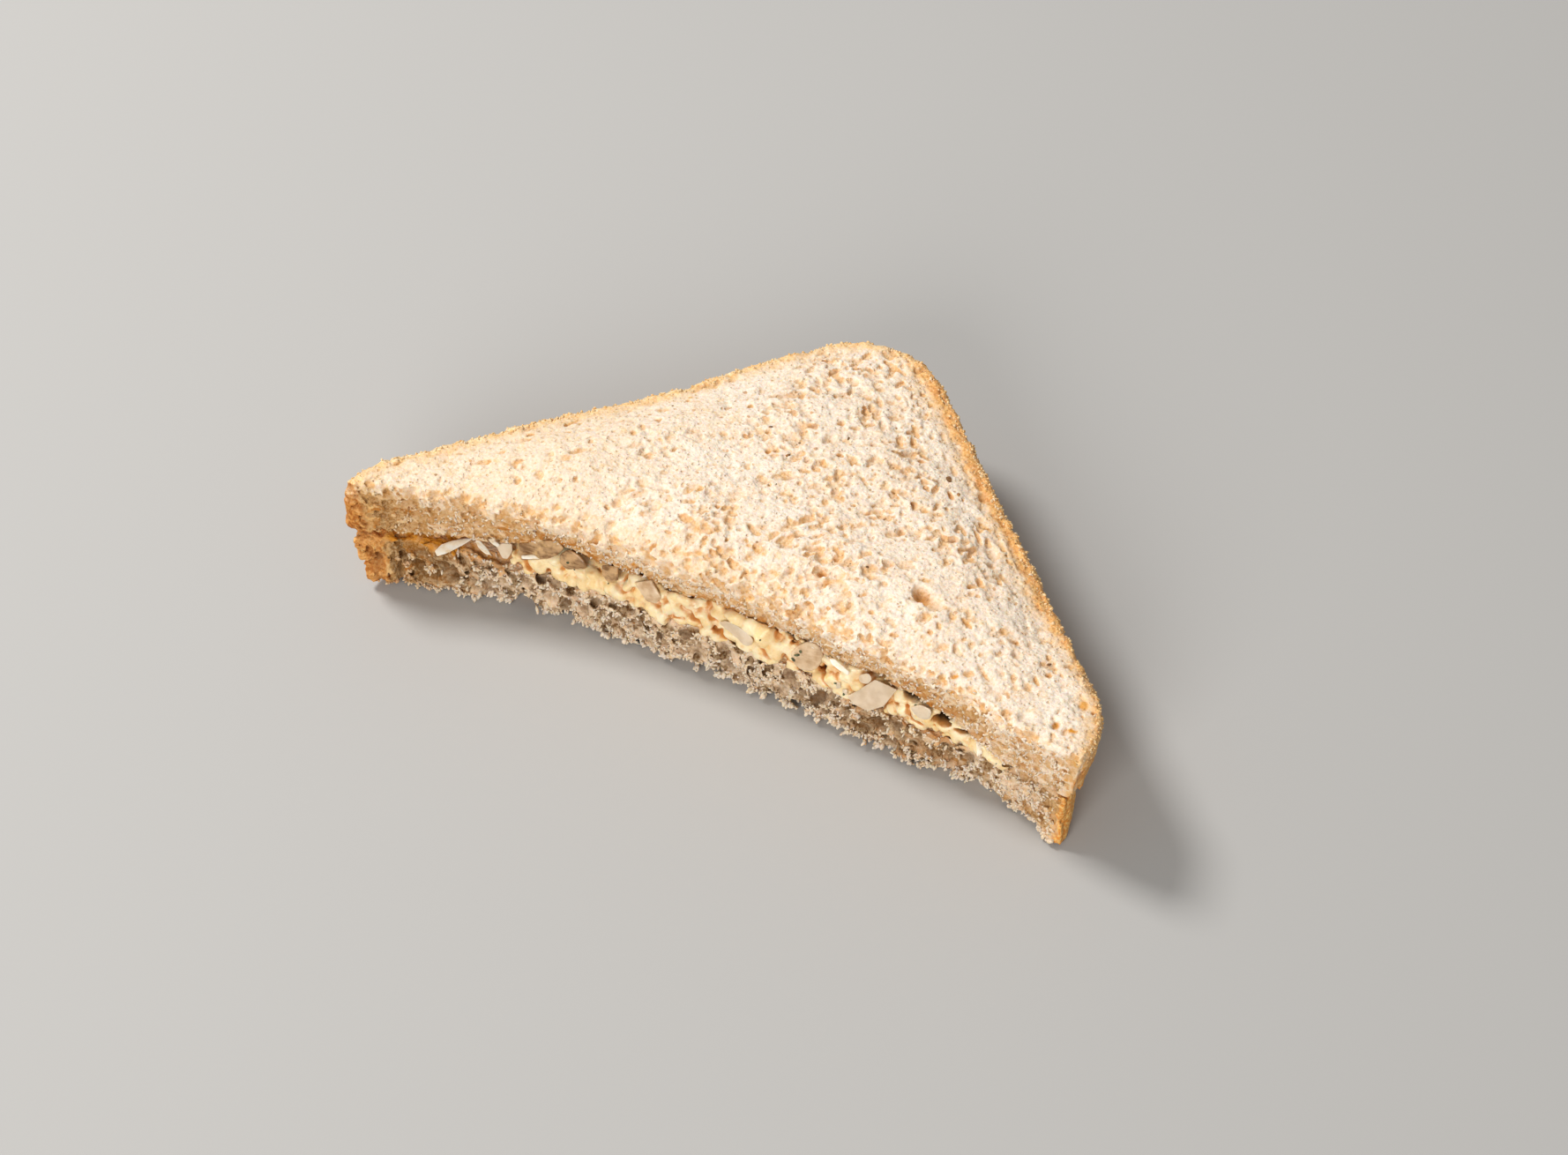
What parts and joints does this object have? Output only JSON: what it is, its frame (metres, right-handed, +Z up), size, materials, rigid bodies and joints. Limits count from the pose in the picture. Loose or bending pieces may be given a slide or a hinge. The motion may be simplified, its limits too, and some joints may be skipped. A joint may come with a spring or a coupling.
{
  "type": "egg salad sandwich",
  "caption": "Triangular half of an egg salad sandwich on light wholemeal bread, cut corner to corner, with the filling squeezed out along a slightly hollow, torn cut edge.",
  "frame": {"origin": "on the surface it rests on, under the middle of the sandwich's bounding box", "axes": "+X along the cut edge towards the sharper tip, +Y from the cut edge towards the rounded loaf corner, +Z up from the face it rests on"},
  "size_m": [0.149, 0.081, 0.0287],
  "materials": {
    "bread_bottom": "soft open wholemeal bread crumb with a thin golden-brown baked crust; matte, slightly translucent food",
    "egg_salad": "moist mashed egg yolk and mayonnaise with diced egg white; soft satin food",
    "bread_top": "soft open wholemeal bread crumb with a thin golden-brown baked crust; matte, slightly translucent food"
  },
  "bodies": {
    "root": {"bread_bottom": "bread_bottom", "egg_salad": "egg_salad", "bread_top": "bread_top"}
  },
  "joints": []
}
